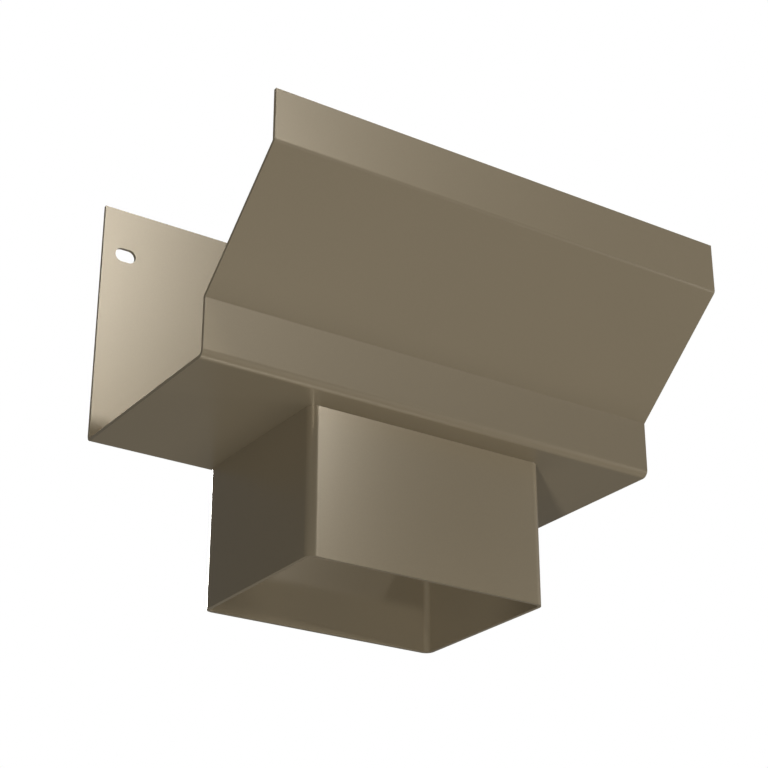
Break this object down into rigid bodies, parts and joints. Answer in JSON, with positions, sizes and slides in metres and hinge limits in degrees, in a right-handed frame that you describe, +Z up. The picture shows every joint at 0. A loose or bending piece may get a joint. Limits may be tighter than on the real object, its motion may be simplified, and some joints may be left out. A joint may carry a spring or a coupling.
{
  "type": "rainwater outlet",
  "caption": "Open-ended length of folded gutter with a chamfered front, a rectangular downpipe spigot welded into its base and slotted fixing holes in its tall back.",
  "frame": {"origin": "centre of the spigot's lower rim, on the axis of the downpipe", "axes": "+Z up, against the flow into the downpipe; +Y towards the fascia that the back is fixed to; +X along the gutter, to the right as seen from the front"},
  "size_m": [0.182, 0.125, 0.1466],
  "materials": {
    "powder_coat": "satin powder coat, pearl beige, on folded and welded aluminium sheet"
  },
  "bodies": {
    "root": {"gutter_trough": "powder_coat", "outlet_spigot": "powder_coat"}
  },
  "joints": []
}
